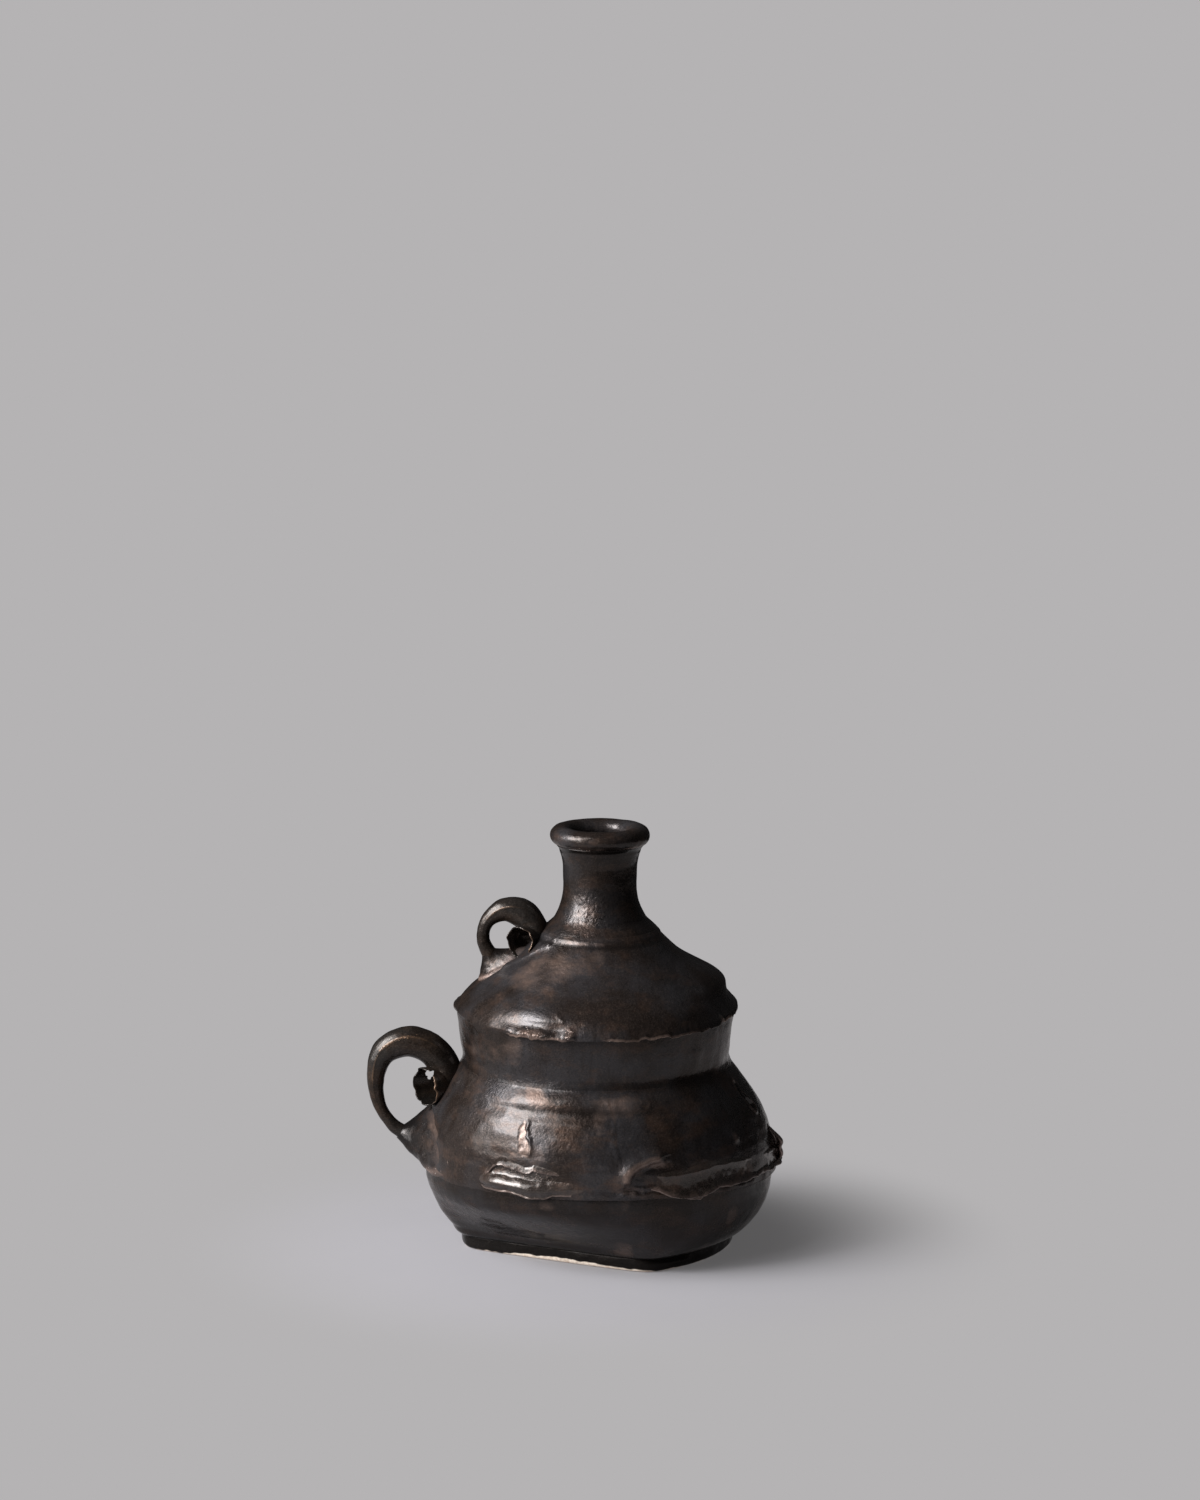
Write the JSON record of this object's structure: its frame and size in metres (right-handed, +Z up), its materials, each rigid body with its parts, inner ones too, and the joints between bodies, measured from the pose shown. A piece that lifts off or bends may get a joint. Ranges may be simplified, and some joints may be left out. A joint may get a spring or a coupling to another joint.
{
  "type": "gourd vase",
  "caption": "Hand-built gourd bottle vase with a waisted double-lobed body, narrow neck, rolled lip and hollow curled-horn handles, glossy bronze-black glaze.",
  "frame": {"origin": "centre of the foot's flat underside, below the neck's axis", "axes": "+Z up along the neck, -Y to the front, +X to the right seen from the front; both handles are on -X"},
  "size_m": [0.1482, 0.1181, 0.1499],
  "materials": {
    "bronze_black_glaze": "glossy bronze-black metallic glaze, mottled grey and copper brown, pooled darker in creases",
    "copper_brown_glaze": "the same glaze broken thin and copper brown over edges and rough clay",
    "horn_glaze": "the same glaze, smooth and brown along the horns' ridges",
    "wiped_stoneware": "glazed edge wiped back to bare cream stoneware along the bottom and underneath"
  },
  "bodies": {
    "root": {"foot_slab": "wiped_stoneware", "lower_bowl": "bronze_black_glaze", "lower_shoulder": "bronze_black_glaze", "waist_band": "bronze_black_glaze", "upper_dome": "bronze_black_glaze", "neck_tube": "bronze_black_glaze", "lip_roll": "bronze_black_glaze", "seam_strip_left": "copper_brown_glaze", "seam_strip_right": "copper_brown_glaze", "lower_right_lug": "copper_brown_glaze", "large_handle": "horn_glaze", "large_handle_root_wad": "copper_brown_glaze", "large_handle_bridge_wad": "copper_brown_glaze", "small_handle": "horn_glaze", "small_handle_root_wad": "copper_brown_glaze", "small_handle_bridge_wad": "copper_brown_glaze"}
  },
  "joints": []
}
